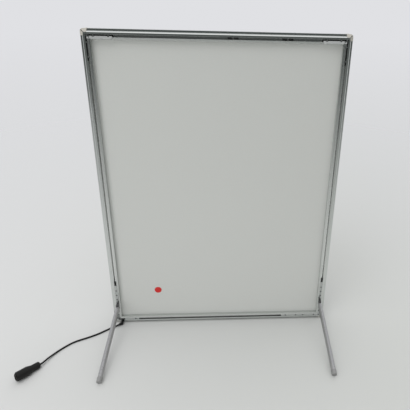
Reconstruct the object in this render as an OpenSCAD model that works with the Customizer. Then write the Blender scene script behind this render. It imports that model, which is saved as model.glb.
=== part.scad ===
// Portrait light box: four mitred, slotted rails round an edge-lit panel, on four swing-out feet.
// The front faces -Y and +Z is up. The origin is on the floor under the middle of the frame.

/* [Frame] */
// Width over the rails
frame_w = 300; // [260:5:600]
// Height over the rails
frame_h = 400; // [300:5:900]
// How far the outer flange stands out past the rail's face part
flange_proud = 2.4; // [2.2:0.1:3.2]
// How far the flange sits back from the front and rear faces
flange_setback = 3.5; // [3:0.1:4.5]
// Radius along the outer edges of the front and rear faces
edge_r = 2.4; // [1:0.1:3]
// How far the face between the slot and the panel slopes back
lip_drop = 0.5; // [0.2:0.1:0.6]
// Face from the flange to the slot
outer_land = 3.5; // [3.2:0.1:5]
// Width of the slot
slot_w = 2.8; // [2.6:0.1:4]
// Face from the slot to the panel
inner_land = 2.3; // [2.1:0.1:4]
// Thickness of the lips beside the slot
lip_t = 1; // [0.8:0.1:1.6]
// How far the cavity reaches behind each lip
slot_undercut = 1; // [0.6:0.1:1.2]
// Depth of the cavity behind the slot
cavity_d = 2.2; // [1.8:0.1:3]
// Wall between the front cavity and the panel groove
front_wall = 1.2; // [1:0.1:2]
// Wall between the rear cavity and the back panel groove
rear_wall = 1.7; // [1:0.1:3]
// Wall round the hollow chamber of a rail
chamber_wall = 1.2; // [1:0.1:1.3]

/* [Panel] */
// Thickness of the opal diffuser
diffuser_t = 2; // [1:0.5:4]
// Thickness of the light guide
guide_t = 4; // [4:0.5:8]
// Thickness of the reflector sheet
reflector_t = 0.5; // [0.2:0.1:1]
// Space between the panel groove and the back panel groove
wiring_gap = 2.9; // [1.5:0.1:8]
// Thickness of the back panel
back_t = 1; // [0.8:0.1:3]
// Depth of the panel groove
groove_depth = 5; // [4.8:0.1:5.2]
// Depth of the back panel groove
back_groove_depth = 3.5; // [2:0.1:4.5]
// Clearance of the sheets in their grooves
panel_play = 0.1; // [0.05:0.05:0.2]
// Diameter of the round marker stuck on the diffuser
marker_d = 9.5; // [4:0.5:30]
// Thickness of the marker
marker_t = 0.2; // [0.1:0.1:1]
// Marker to the left of the frame's middle
marker_left = 86.5; // [0:0.5:100]
// Height of the marker over the floor
marker_z = 53; // [30:1:200]

/* [LED strips] */
// Thickness of a strip's board
board_t = 0.8; // [0.6:0.1:1]
// Width of a strip's board
board_w = 3.6; // [3:0.1:3.8]
// Thickness of one light
chip_t = 0.7; // [0.4:0.1:0.8]
// Width of one light, across the strip
chip_w = 2.8; // [2:0.1:3]
// Length of one light, along the strip
chip_l = 3.5; // [2:0.1:5]
// Distance from light to light
chip_pitch = 15; // [8:0.5:40]
// Space between the lights and the light guide
chip_gap = 0.3; // [0.1:0.1:0.5]
// Start of a strip, over the outer edge of the bottom rail
board_start = 24; // [22:1:60]
// End of a strip, under the outer edge of the top rail
board_end = 14; // [10:1:60]
// Radius of an inner supply lead
lead_r = 0.7; // [0.4:0.1:0.8]

/* [Slot hardware] */
// Clearance of a slot piece in the slot and its cavity
slot_play = 0.1; // [0.05:0.05:0.2]
// Arm of a corner bracket, from the corner of the slots
bracket_arm = 27; // [26:1:28]
// Radius of a set screw
screw_r = 1; // [0.7:0.1:1]
// Clearance round a set screw
screw_play = 0.05; // [0.02:0.01:0.1]
// Depth of a set screw under its piece's face
screw_sink = 0.3; // [0.2:0.1:1.2]
// Depth of a top bracket's set screw under the rail's face
top_screw_sink = 0.2; // [0.1:0.1:0.6]
// Radius of the heads of a top bracket's screws
head_r = 1.25; // [1.1:0.05:1.3]
// How far a top bracket's sloped edge stands out in front of the rail
hook_proud = 1.2; // [0.6:0.1:1.6]
// Reach of that edge over the lip, from the middle of the slot
hook_reach = 3; // [2.4:0.1:3.4]
// Width over flats of a set screw's socket
screw_socket = 0.9; // [0.5:0.1:1]
// Near set screw of a bracket, from the corner of the slots
screw_near = 7; // [5:0.5:9]
// Far set screw of a bracket, from the corner of the slots
screw_far = 23; // [12:0.5:24]
// Length of the plate in the bottom slot
plate_l = 27; // [20:1:60]
// Gap between that plate and the bracket beside it
plate_gap = 0.5; // [0.3:0.1:10]
// Distance between the plate's two set screws
plate_screw_spacing = 15; // [8:1:16]
// Length of a slot nut
nut_l = 12; // [8:1:20]
// Radius of a slot nut's tapped hole
nut_hole_r = 1.25; // [1:0.05:1.4]
// First slot nut, to the right of the frame's middle
nut_1_right = 15; // [-40:1:40]
// Second slot nut, to the right of the frame's middle
nut_2_right = 76; // [62:1:90]

/* [Corner caps] */
// Arm of a cap along each rail
cap_arm = 7.5; // [6.5:0.5:8.5]
// How far a cap laps over the rail's rounded edge
cap_lap = 1.4; // [0.8:0.1:1.6]
// Depth of a cap's inner edge behind the front and rear faces
cap_sink = 0.6; // [0.3:0.1:1]
// Radius of a cap's outer corner
cap_r = 3.3; // [1:0.1:4]
// How far a cap's outer edge stands out past the flange, front and rear
cap_proud = 0.5; // [0.2:0.1:0.8]
// Clearance between a cap and the rails
cap_play = 0.05; // [0.02:0.01:0.1]
// Gap at the mitre between the two halves of a cap
cap_gap = 0.7; // [0.4:0.1:0.8]

/* [Feet] */
// Width of a leg
leg_w = 5.8; // [5:0.2:7]
// Height of a leg's section
leg_h = 7; // [6:0.2:8]
// Width of a leg at its hinge
root_w = 4; // [3.6:0.2:4.8]
// Length over which a leg narrows to its hinge
root_taper_l = 22; // [15:1:40]
// Reach of a leg from its hinge pin to its end
leg_reach = 90; // [60:1:120]
// Height of a leg's eye over the floor
leg_root_z = 29.5; // [28:0.5:45]
// Hinge pin in front of the rail's face
pin_out = 4.2; // [4.2:0.1:8]
// Hinge pin, in from the middle of the slot
pin_in = 0.8; // [0:0.1:1]
// Radius of a hinge pin
pin_r = 1; // [0.8:0.05:1.2]
// Running clearance between a hinge pin and its leg
pin_play = 0.05; // [0.02:0.01:0.1]
// Clearance between a hinge pin and the lugs that hold it
pin_seat = 0.02; // [0.01:0.01:0.05]
// Radius of a knuckle's lug
lug_r = 1.9; // [1.9:0.1:2.4]
// Thickness of a knuckle's lug
lug_t = 2; // [1.5:0.1:2.4]
// Gap between a leg's eye and a lug
eye_gap = 0.2; // [0.1:0.05:0.4]
// Width of the neck that carries a lug
neck_w = 2.8; // [2.6:0.2:4]
// How far a knuckle runs up the slot, over its upper lug
knuckle_over = 0.5; // [0.5:0.1:6]
// Length of the locking plate over a knuckle
leg_plate_l = 28; // [26:0.5:44]
// Top set screw of a locking plate, under the plate's end
leg_screw_inset = 8.5; // [4:0.5:9]
// Distance from set screw to set screw on a locking plate
leg_screw_pitch = 7.2; // [4:0.2:7.4]
// Length of the stop over a locking plate
stop_l = 3; // [2:0.5:8]
// How far the cap on a leg's end stands out round the leg
foot_cap_proud = 0.2; // [0.1:0.05:0.4]
// Length of the cap on a leg's end
foot_cap_l = 5.5; // [4:0.5:12]

/* [Power lead] */
// Diameter of the cord
cord_d = 2.2; // [1.6:0.1:2.2]
// Grommet, from the frame's left edge
grommet_in = 11.5; // [11.5:0.5:14]
// Height of the grommet over the floor
grommet_z = 2.7; // [2.7:0.1:3]
// Radius of the grommet's hole in the rail
grommet_hole_r = 1.5; // [1.4:0.05:1.5]
// Radius of the boot in front of the rail
boot_r = 2.3; // [2:0.1:2.5]
// Bend of the boot, in front of the rail
boot_l = 3.2; // [1.5:0.1:3.5]
// Length of the boot's nose, from its bend
boot_nose = 4; // [3:0.5:6]
// Lean of the boot's nose to the left
boot_lean = 52; // [40:1:60]
// Length of the power socket
socket_l = 27.5; // [26:0.5:40]
// Diameter of the socket's front
socket_d = 11; // [10:0.1:12]
// Diameter of the socket's rear
socket_rear_d = 8.2; // [6:0.1:9.6]
// Length of the socket's rear, to the middle of its taper
socket_rear_l = 11.6; // [8:0.1:12]
// Length of the taper between the socket's rear and front
socket_taper_l = 5; // [1:0.5:6]
// Bevel round the socket's mouth
mouth_bevel = 1.5; // [0.3:0.1:1.8]
// Radius of the bore that holds the contact sleeve
socket_bore_r = 3.4; // [3.2:0.1:4]
// Depth of that bore
socket_bore_l = 11; // [8:0.5:12]
// Wall of the contact sleeve
sleeve_t = 0.5; // [0.3:0.1:0.6]
// Radius of the centre contact
contact_r = 1.05; // [0.8:0.05:1.2]
// Free length of the centre contact
contact_l = 9; // [6:0.5:10]
// Length of the centre contact's root in the socket
contact_root = 3; // [1:0.5:4]

/* [Hidden] */
$fn = 48;

aluminium = [0.72, 0.73, 0.72];
steel = [0.6, 0.61, 0.62];
dark_steel = [0.2, 0.2, 0.2];
black = [0.06, 0.06, 0.06];
cut = 1;                // how far a cutting solid runs past what it cuts
joining = 0.2;          // how far solids of one piece run into each other
chamber_back = 1.5;     // start of a rail's chamber, behind its flange's edge
hook_w = 1;             // width of a top bracket's edge in the slot
hook_gap = 0.05;        // clearance of that edge over the rail's face
head_bevel = 0.5;       // bevel of the heads of a top bracket's screws
lead_apart = 0.2;       // start of each supply lead, beside the grommet's middle
lead_spread = 1;        // each supply lead, before or behind the middle of the light guide
lead_drop = 3;          // holes for the supply leads, under the start of a strip
lead_play = 0.3;        // clearance of a supply lead in its hole
knuckle_under = 1.3;    // end of a knuckle, under its lower lug
bracket_apart = 1.2;    // gap between a knuckle and the corner bracket under it
slot_gap = 0.3;         // gap between a knuckle, its locking plate and the stop
tip_lift = 0.2;         // end of a leg, over the sole of its cap
lug_clear = 0.4;        // clearance of a swinging leg round the lugs
root_edge = 0.05;       // a leg's sides at its hinge, outside its eye
leg_step = 0.7;         // a leg's end in its cap, inside the leg's own outline
foot_fit = 0.05;        // clearance of a cap on its leg's end
foot_end = 1.5;         // thickness of a cap past its leg's end
pin_head_rim = 0.7;     // head of a hinge pin, past the pin itself
pin_head_t = 0.8;       // thickness of that head
grommet_seat = 0.05;    // clearance of the grommet in its hole
boot_neck = 0.8;        // the boot's neck at the rail, narrower than the boot
nose_step = 0.3;        // start of the boot's nose, narrower than the boot
nose_wall = 0.35;       // wall of the boot's nose round the cord
cap_seat = 2.6;         // depth of the rebate in a rail for a cap
socket_chamfer = 1.2;   // bevel round the socket's rear
contact_seat = 0.02;    // clearance of the centre contact in the socket
sleeve_seat = 0.03;     // clearance of the contact sleeve in its bore
sleeve_recess = 1;      // end of the contact sleeve, inside the socket's mouth

// Rail section: u runs in from the outer edge, v runs back from the front face
rail_face = flange_proud + outer_land + slot_w + inner_land;
slot_u = flange_proud + outer_land + slot_w / 2;
cavity_w = slot_w + 2 * slot_undercut;
slot_zone = lip_t + cavity_d;
panel_v = slot_zone + front_wall;
stack_t = diffuser_t + guide_t + reflector_t;
groove_w = stack_t + panel_play;
back_v = panel_v + groove_w + wiring_gap;
back_groove_w = back_t + 2 * panel_play;
rail_d = back_v + back_groove_w + rear_wall + slot_zone;
front_y = -rail_d / 2;
edge_round = min(edge_r, outer_land - joining, flange_setback - joining);
groove_u = rail_face - groove_depth;
back_groove_u = rail_face - back_groove_depth;
chamber_v = flange_setback + chamber_back;
chamber_w = groove_u - 2 * chamber_wall;
lead_u = (flange_proud + groove_u - chamber_wall) / 2;

// Slot pieces: a base in the cavity and a rib that fills the slot
base_w = cavity_w - 2 * slot_play;
base_t = cavity_d - 2 * slot_play;
rib_w = slot_w - 2 * slot_play;
screw_hole_r = screw_r + screw_play;

// Sheets and strips
sheet_u = groove_u + panel_play;
guide_u = groove_u + board_t + chip_t + chip_gap;
guide_y = front_y + panel_v + diffuser_t + guide_t / 2;
board_l = frame_h - board_start - board_end;
chips = floor((board_l - chip_l) / chip_pitch) + 1;
lead_y = [guide_y - lead_spread, guide_y + lead_spread];
lead_hole_z = board_start - lead_drop;
lead_hole_r = lead_r + lead_play;

// Hinges and legs, in the plane of the left front leg
slot_x = -frame_w / 2 + slot_u;
hinge_x = slot_x + pin_in;
hinge_y = front_y - pin_out;
eye_r = root_w / 2 - root_edge;
root_taper = atan((leg_w - root_w) / 2 / root_taper_l);
eye_low = leg_root_z - leg_h / 2;
eye_high = leg_root_z + leg_h / 2;
lug_low = eye_low - eye_gap - lug_t;
lug_high = eye_high + eye_gap + lug_t;
knuckle_low = lug_low - knuckle_under;
knuckle_high = lug_high + knuckle_over;
leg_plate_z = knuckle_high + slot_gap;
leg_plate_top = leg_plate_z + leg_plate_l;
short_arm = knuckle_low - bracket_apart - slot_u;
leg_tip_z = leg_h / 2 + tip_lift;
leg_slope = atan2(leg_root_z - leg_tip_z, leg_reach);
leg_l = leg_reach / cos(leg_slope);
foot_cap_z = leg_l + foot_end - foot_cap_l;

// Plate in the bottom slot, beside the right front corner bracket
plate_x = frame_w / 2 - slot_u - bracket_arm - plate_gap - plate_l / 2;

// Power lead: the cord's points are [x, y] from the grommet's hole and a lift off the floor
grommet_x = -frame_w / 2 + grommet_in;
boot_dir = [-sin(boot_lean), -cos(boot_lean), 0];
boot_tip = [grommet_x, front_y - boot_l, grommet_z] + boot_nose * boot_dir;
boot_run = 1.6;
socket_left = 83.2;
socket_ahead = 68.7;
socket_angle = 227;
socket_run = 2.6;
taper_end = socket_rear_l + socket_taper_l / 2;
socket_tilt = atan((socket_d - socket_rear_d) / 2 / (taper_end - socket_chamfer));
socket_dir = [cos(socket_tilt) * cos(socket_angle), cos(socket_tilt) * sin(socket_angle), sin(socket_tilt)];
socket_z = socket_rear_d / 2 * cos(socket_tilt) - socket_chamfer * sin(socket_tilt);
socket_rear = [grommet_x - socket_left, front_y - socket_ahead, socket_z];
cord_points = [[-7.1, -8, 1.1], [-11.1, -9.8, 0.5], [-15.1, -11.7, 0.1], [-19.9, -14.7, 0],
    [-25.5, -18.5, 0], [-31.5, -22, 0], [-38.5, -25.4, 0], [-45.5, -28.5, 0], [-52.5, -31.6, 0],
    [-58.5, -35.4, 0], [-63.5, -39.8, 0], [-68, -44.4, 0.1], [-72, -49.5, 0.4],
    [-75.4, -54.8, 1], [-77.8, -59.4, 1.8], [-79.5, -63.4, 2.4]];
cord_route = concat(
    [boot_tip, boot_tip + boot_run * boot_dir],
    [for (p = cord_points) p + [grommet_x, front_y, cord_d / 2]],
    [socket_rear - socket_run * socket_dir, socket_rear]);
cord_sides = 8;

// Placing on the four sides of the frame: a side's own pieces lie along X with z running inwards
module at_top() translate([0, 0, frame_h]) rotate([0, 180, 0]) children();
module at_left() translate([-frame_w / 2, 0, frame_h / 2]) rotate([0, 90, 0]) children();
module at_right() translate([frame_w / 2, 0, frame_h / 2]) rotate([0, -90, 0]) children();

module on_right() mirror([1, 0, 0]) children();
module on_rear() mirror([0, 1, 0]) children();
module upside_down() translate([0, 0, frame_h]) mirror([0, 0, 1]) children();

module both_sides() {
    children();
    on_right() children();
}

module four_ways() {
    both_sides() children();
    on_rear() both_sides() children();
}

// Outline of the rail's face part
module face_outline() {
    outer_u = flange_proud + edge_round;
    lip_u = rail_face - inner_land;
    polygon([[outer_u, 0], [lip_u, 0], [rail_face, lip_drop],
        [rail_face, rail_d - lip_drop], [lip_u, rail_d], [outer_u, rail_d]]);
    translate([flange_proud, edge_round]) square([edge_round + joining, rail_d - 2 * edge_round]);
    for (v = [edge_round, rail_d - edge_round]) translate([outer_u, v]) circle(edge_round);
}

module slot_cut() {
    translate([slot_u - slot_w / 2, -cut]) square([slot_w, cut + lip_t + joining]);
    translate([slot_u - cavity_w / 2, lip_t]) square([cavity_w, cavity_d]);
}

module rail_section() {
    difference() {
        union() {
            face_outline();
            translate([0, flange_setback]) square([flange_proud + joining, rail_d - 2 * flange_setback]);
        }
        slot_cut();
        translate([0, rail_d]) mirror([0, 1]) slot_cut();
        translate([groove_u, panel_v]) square([groove_depth + cut, groove_w]);
        translate([back_groove_u, back_v]) square([back_groove_depth + cut, back_groove_w]);
        translate([chamber_wall, chamber_v]) square([chamber_w, rail_d - 2 * chamber_v]);
    }
}

// One rail along X, mitred at both ends, with its flange and its rounded edges cut back for the caps
module rail(length) {
    half = length / 2;
    deep = rail_face + cut;
    notch = cap_arm + cap_play;
    rebate = flange_proud + cap_lap + cap_play;
    difference() {
        intersection() {
            rotate([0, -90, 0])
                linear_extrude(height = length, center = true)
                    translate([0, front_y]) rail_section();
            rotate([90, 0, 0])
                linear_extrude(height = rail_d + 2 * cut, center = true)
                    polygon([[-half, 0], [half, 0], [half - deep, deep], [deep - half, deep]]);
        }
        for (end = [-1, 1])
            translate([end * half, 0, 0]) {
                cube([2 * notch, rail_d + 2 * cut, 2 * flange_proud], center = true);
                for (face = [front_y, -front_y])
                    translate([0, face, 0]) cube([2 * notch, 2 * cap_seat, 2 * rebate], center = true);
            }
    }
}

// Hole from the left rail's chamber into its panel groove
module lead_hole(y) {
    translate([-frame_w / 2 + groove_u - chamber_wall - cut, y, lead_hole_z])
        rotate([0, 90, 0]) cylinder(r = lead_hole_r, h = chamber_wall + 2 * cut);
}

module top_rail() color(aluminium) at_top() rail(frame_w);

module bottom_rail() {
    color(aluminium)
        difference() {
            rail(frame_w);
            translate([grommet_x, front_y - cut, grommet_z])
                rotate([-90, 0, 0]) cylinder(r = grommet_hole_r, h = cut + chamber_v + joining);
        }
}

module left_rail() {
    color(aluminium)
        difference() {
            at_left() rail(frame_h);
            lead_hole(lead_y[0]);
        }
}

module right_rail() {
    color(aluminium)
        difference() {
            at_right() rail(frame_h);
            on_right() lead_hole(lead_y[1]);
        }
}

// Base of a slot piece along X, in the front cavity of a rail whose slot is at z = 0
module slot_base(base_x, x1) {
    translate([base_x, front_y + lip_t + slot_play, -base_w / 2]) cube([x1 - base_x, base_t, base_w]);
}

// The same with a rib that fills the slot
module slot_strip(base_x, rib_x, x1) {
    slot_base(base_x, x1);
    translate([rib_x, front_y + slot_play, -rib_w / 2]) cube([x1 - rib_x, lip_t + joining, rib_w]);
}

module screw_hole() {
    translate([0, front_y - cut, 0])
        rotate([-90, 0, 0]) cylinder(r = screw_hole_r, h = slot_zone + 2 * cut);
}

// A set screw whose point stands on the floor of the cavity
module set_screw() {
    length = slot_zone - screw_sink - slot_play;
    translate([0, front_y + slot_zone, 0])
        rotate([90, 0, 0])
            difference() {
                cylinder(r = screw_r, h = length);
                translate([0, 0, length / 2]) cylinder(d = screw_socket / cos(30), h = length, $fn = 6);
            }
}

// Set screws of the bracket in the lower left corner, as [x, z] from the corner of the slots
function bracket_screws(tall) = concat(
    [[0, 0], [screw_near, 0], [screw_far, 0], [0, screw_near]],
    tall ? [[0, screw_far]] : []);

module at_slot_corner() translate([slot_x, 0, slot_u]) children();

// Bracket of a lower corner, with ribs that fill the slots
module ribbed_bracket() {
    at_slot_corner()
        difference() {
            union() {
                slot_strip(-base_w / 2, -rib_w / 2, bracket_arm);
                rotate([0, -90, 0]) slot_strip(-base_w / 2, -rib_w / 2, short_arm);
            }
            for (p = bracket_screws(false)) translate([p[0], 0, p[1]]) screw_hole();
        }
}

// Sloped edge of a top bracket along X: through the slot and over the lip beside the panel
module slot_hook(x1) {
    root = slot_w / 2 - hook_w;
    side = slot_w / 2 - slot_play;
    deep = lip_t + slot_play + joining;
    translate([x1, front_y, 0])
        rotate([0, -90, 0])
            linear_extrude(height = x1 - root)
                polygon([[root, deep], [root, slot_play], [hook_reach, -hook_proud],
                    [hook_reach, -hook_gap], [side, -hook_gap], [side, deep]]);
}

// Room in that edge for a screw's head
module head_hole() {
    translate([0, front_y - 2 * cut, 0])
        rotate([-90, 0, 0]) cylinder(r = head_r + screw_play, h = 2 * cut + lip_t + slot_play / 2);
}

// Bracket of an upper corner, drawn at the lower one: strips in the cavities, each with a sloped edge
module hooked_bracket() {
    at_slot_corner()
        difference() {
            union() {
                slot_base(-base_w / 2, bracket_arm);
                slot_hook(bracket_arm);
                rotate([0, -90, 0]) slot_base(-base_w / 2, bracket_arm);
                rotate([0, -90, 0]) mirror([0, 0, 1]) slot_hook(bracket_arm);
            }
            for (p = bracket_screws(true))
                translate([p[0], 0, p[1]]) {
                    screw_hole();
                    head_hole();
                }
        }
}

// A top bracket's screw, with a bevelled head over the bracket
module button_screw() {
    shank = slot_zone - lip_t;
    head = lip_t - top_screw_sink - slot_play;
    translate([0, front_y + slot_zone, 0])
        rotate([90, 0, 0])
            difference() {
                union() {
                    cylinder(r = screw_r, h = shank + joining);
                    translate([0, 0, shank]) cylinder(r1 = head_r, r2 = head_r - head_bevel, h = head);
                }
                translate([0, 0, shank / 2]) cylinder(d = screw_socket / cos(30), h = slot_zone, $fn = 6);
            }
}

module at_corner_screws(tall) {
    at_slot_corner()
        for (p = bracket_screws(tall)) translate([p[0], 0, p[1]]) children();
}

module top_corner_brackets() color(steel) upside_down() four_ways() hooked_bracket();

module bottom_corner_brackets() color(steel) four_ways() ribbed_bracket();

module top_bracket_screws() color(steel) upside_down() four_ways() at_corner_screws(true) button_screw();

module bottom_bracket_screws() color(dark_steel) four_ways() at_corner_screws(false) set_screw();

// Outline of a corner cap's two arms from its outer corner
module cap_outline(cover) {
    difference() {
        union() {
            square([cap_arm, cover]);
            square([cover, cap_arm]);
        }
        difference() {
            translate([-cut, -cut]) square(cap_r + cut);
            translate([cap_r, cap_r]) circle(cap_r);
        }
    }
}

// Slope of a cap's faces, from its outer edge to its inner edge
module cap_slope() {
    low = -front_y - flange_setback + cap_proud;
    high = -front_y - cap_sink;
    cover = flange_proud + cap_lap;
    polygon([[0, -low], [cover, -high], [cap_arm, -high], [cap_arm, high], [cover, high], [0, low]]);
}

// Corner cap of the lower left corner: two mitred halves in place of the rails' flanges
module corner_cap() {
    lap_t = cap_seat - cap_play;
    translate([-frame_w / 2, 0, 0])
        difference() {
            intersection() {
                union() {
                    rotate([90, 0, 0])
                        linear_extrude(height = rail_d, center = true) cap_outline(flange_proud - cap_play);
                    for (face = [front_y + lap_t / 2, -front_y - lap_t / 2])
                        translate([0, face, 0])
                            rotate([90, 0, 0])
                                linear_extrude(height = lap_t, center = true)
                                    cap_outline(flange_proud + cap_lap);
                }
                linear_extrude(height = cap_arm) cap_slope();
                translate([cap_arm, 0, 0]) rotate([0, -90, 0]) linear_extrude(height = cap_arm) cap_slope();
            }
            rotate([0, -45, 0]) cube([4 * cap_arm, rail_d + 2 * cut, cap_gap], center = true);
        }
}

module corner_caps() {
    color([0.75, 0.73, 0.68])
        both_sides() {
            corner_cap();
            upside_down() corner_cap();
        }
}

// A sheet standing in the frame, from v back over its thickness, with its edges at side_u and edge_u
module sheet(v, thick, side_u, edge_u) {
    translate([side_u - frame_w / 2, front_y + v, edge_u])
        cube([frame_w - 2 * side_u, thick, frame_h - 2 * edge_u]);
}

module diffuser_panel() color([0.9, 0.91, 0.89]) sheet(panel_v, diffuser_t, sheet_u, sheet_u);

module light_guide() color([0.85, 0.92, 0.92]) sheet(panel_v + diffuser_t, guide_t, guide_u, sheet_u);

module reflector_sheet() {
    color("white") sheet(panel_v + diffuser_t + guide_t, reflector_t, sheet_u, sheet_u);
}

module back_panel() {
    back_u = back_groove_u + panel_play;
    color([0.9, 0.9, 0.9]) sheet(back_v + panel_play, back_t, back_u, back_u);
}

module marker_dot() {
    color("red")
        translate([-marker_left, front_y + panel_v, marker_z])
            rotate([90, 0, 0]) cylinder(d = marker_d, h = marker_t);
}

// LED strip on the floor of the left rail's groove
module led_board() {
    translate([-frame_w / 2 + groove_u, guide_y - board_w / 2, board_start])
        cube([board_t, board_w, board_l]);
}

module led_chips() {
    chip_x = -frame_w / 2 + groove_u + board_t;
    first = board_start + (board_l - (chips - 1) * chip_pitch - chip_l) / 2;
    for (i = [0 : chips - 1])
        translate([chip_x, guide_y - chip_w / 2, first + i * chip_pitch]) cube([chip_t, chip_w, chip_l]);
}

module left_led_board() color([0.93, 0.93, 0.9]) led_board();

module right_led_board() color([0.93, 0.93, 0.9]) on_right() led_board();

module left_led_chips() color([0.95, 0.85, 0.4]) led_chips();

module right_led_chips() color([0.95, 0.85, 0.4]) on_right() led_chips();

// A round lead along straight runs, with a ball at each bend
module lead(points) {
    last = len(points) - 1;
    for (i = [0 : last - 1]) {
        run = points[i + 1] - points[i];
        translate(points[i])
            rotate([0, acos(run[2] / norm(run)), atan2(run[1], run[0])])
                cylinder(r = lead_r, h = norm(run));
        if (i > 0) translate(points[i]) sphere(lead_r);
    }
}

// From the grommet through the bottom rail's chamber and up a side rail to its strip
module supply_lead(side, y) {
    start_x = grommet_x + side * (lead_r + lead_apart);
    chamber_x = side * (frame_w / 2 - lead_u);
    board_x = side * (frame_w / 2 - groove_u - lead_r - panel_play);
    color(side < 0 ? "firebrick" : "dimgray")
        lead([[start_x, front_y + chamber_v, lead_u], [start_x, y, lead_u], [chamber_x, y, lead_u],
            [chamber_x, y, lead_hole_z], [board_x, y, lead_hole_z], [board_x, y, board_start]]);
}

module left_supply_lead() supply_lead(-1, lead_y[0]);

module right_supply_lead() supply_lead(1, lead_y[1]);

module at_plate_screws() {
    for (s = [-1, 1])
        translate([plate_x + s * plate_screw_spacing / 2, 0, slot_u]) children();
}

module joint_plate() {
    color(steel)
        difference() {
            translate([plate_x, 0, slot_u]) slot_strip(-plate_l / 2, -plate_l / 2, plate_l / 2);
            at_plate_screws() screw_hole();
        }
}

module joint_plate_screws() color(dark_steel) at_plate_screws() set_screw();

// Plain tapped plates that slide in the cavity of the top slot
module slot_nuts() {
    color(black)
        for (x = [nut_1_right, nut_2_right])
            translate([x, front_y + lip_t + slot_play, frame_h - slot_u])
                rotate([-90, 0, 0])
                    difference() {
                        translate([-nut_l / 2, -base_w / 2, 0]) cube([nut_l, base_w, base_t]);
                        translate([0, 0, -cut]) cylinder(r = nut_hole_r, h = base_t + 2 * cut);
                    }
}

// A slot piece of the left front leg, over a height from z up the slot
module upright_strip(z, length) translate([slot_x, 0, z]) rotate([0, -90, 0]) slot_strip(0, 0, length);

// Lug of the left front knuckle, over or under the leg's eye
module lug(z) {
    translate([hinge_x, hinge_y, z]) cylinder(r = lug_r, h = lug_t);
    translate([slot_x, 0, z]) {
        translate([(pin_in - neck_w) / 2, hinge_y, 0]) cube([neck_w, pin_out, lug_t]);
        translate([-rib_w / 2, front_y - joining, 0]) cube([rib_w, lip_t, lug_t]);
    }
}

module leg_knuckle() {
    difference() {
        union() {
            upright_strip(knuckle_low, knuckle_high - knuckle_low);
            lug(lug_low);
            lug(lug_high - lug_t);
        }
        translate([hinge_x, hinge_y, lug_low - cut])
            cylinder(r = pin_r + pin_seat, h = lug_high - lug_low + 2 * cut);
    }
}

module leg_knuckles() color(black) four_ways() leg_knuckle();

// Locking plate in the slot over the left front knuckle, with three set screws
module at_leg_screws() {
    for (i = [0 : 2])
        translate([slot_x, 0, leg_plate_top - leg_screw_inset - i * leg_screw_pitch]) children();
}

module leg_plate() {
    difference() {
        upright_strip(leg_plate_z, leg_plate_l);
        at_leg_screws() screw_hole();
    }
}

module leg_plates() color(steel) four_ways() leg_plate();

module leg_plate_screws() color(dark_steel) four_ways() at_leg_screws() set_screw();

module slot_stops() color(black) four_ways() upright_strip(leg_plate_top + slot_gap, stop_l);

module hinge_pin() {
    translate([hinge_x, hinge_y, 0]) {
        translate([0, 0, lug_low]) cylinder(r = pin_r, h = lug_high - lug_low + joining);
        translate([0, 0, lug_high]) cylinder(r = pin_r + pin_head_rim, h = pin_head_t);
    }
}

module hinge_pins() color(dark_steel) four_ways() hinge_pin();

// Upright rounded section of a leg, grown all round
module leg_section(grow) {
    r = leg_w / 2 + grow;
    straight = leg_h - leg_w;
    for (s = [-1, 1]) translate([0, s * straight / 2]) circle(r);
    translate([-r, -straight / 2]) square([2 * r, straight]);
}

// Along the left front leg from the hinge pin: x across, y up, z out along the slope
module along_leg() translate([hinge_x, hinge_y, leg_root_z]) rotate([90 + leg_slope, 0, 0]) children();

module leg() {
    clear_r = eye_r + lug_clear;
    color(aluminium)
        difference() {
            union() {
                translate([hinge_x, hinge_y, eye_low]) cylinder(r = eye_r, h = leg_h);
                along_leg() linear_extrude(height = foot_cap_z - foot_fit) leg_section(0);
                along_leg() linear_extrude(height = leg_l) leg_section(-leg_step);
            }
            along_leg()
                for (s = [-1, 1])
                    translate([s * root_w / 2, 0, 0])
                        rotate([0, s * root_taper, 0])
                            translate([s * leg_w / 2, 0, 0])
                                cube([leg_w, 3 * leg_h, 2 * root_taper_l], center = true);
            translate([hinge_x, hinge_y, eye_high]) cylinder(r = clear_r, h = lug_t * 2);
            translate([hinge_x, hinge_y, eye_low - lug_t * 2]) cylinder(r = clear_r, h = lug_t * 2);
            translate([hinge_x, hinge_y, eye_low - cut])
                cylinder(r = pin_r + pin_play, h = leg_h + 2 * cut);
        }
}

// Cap on a leg's end, with its sole cut level with the floor
module foot_cap() {
    tall = 4 * leg_h;
    color([0.62, 0.63, 0.62])
        intersection() {
            difference() {
                along_leg()
                    translate([0, 0, foot_cap_z])
                        linear_extrude(height = foot_cap_l) leg_section(foot_cap_proud);
                along_leg() linear_extrude(height = leg_l + foot_fit) leg_section(foot_fit - leg_step);
            }
            translate([hinge_x, hinge_y - leg_reach, tall / 2])
                cube([tall, leg_reach, tall], center = true);
        }
}

module front_left_leg() leg();

module front_right_leg() on_right() leg();

module rear_left_leg() on_rear() leg();

module rear_right_leg() on_rear() on_right() leg();

module front_left_foot_cap() foot_cap();

module front_right_foot_cap() on_right() foot_cap();

module rear_left_foot_cap() on_rear() foot_cap();

module rear_right_foot_cap() on_rear() on_right() foot_cap();

// Grommet through the bottom rail, with a boot in front that leans the way the cord goes
module cord_grommet() {
    stem_r = grommet_hole_r - grommet_seat;
    nose_r = boot_r - nose_step;
    tip_r = cord_d / 2 + nose_wall;
    color(black)
        translate([grommet_x, front_y, grommet_z])
            rotate([90, 0, 0]) {
                translate([0, 0, -chamber_v]) cylinder(r = stem_r, h = chamber_v + joining);
                cylinder(r = boot_r - boot_neck, h = boot_l);
                translate([0, 0, boot_l]) {
                    sphere(boot_r);
                    rotate([0, -boot_lean, 0]) cylinder(r1 = nose_r, r2 = tip_r, h = boot_nose);
                }
            }
}

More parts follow.
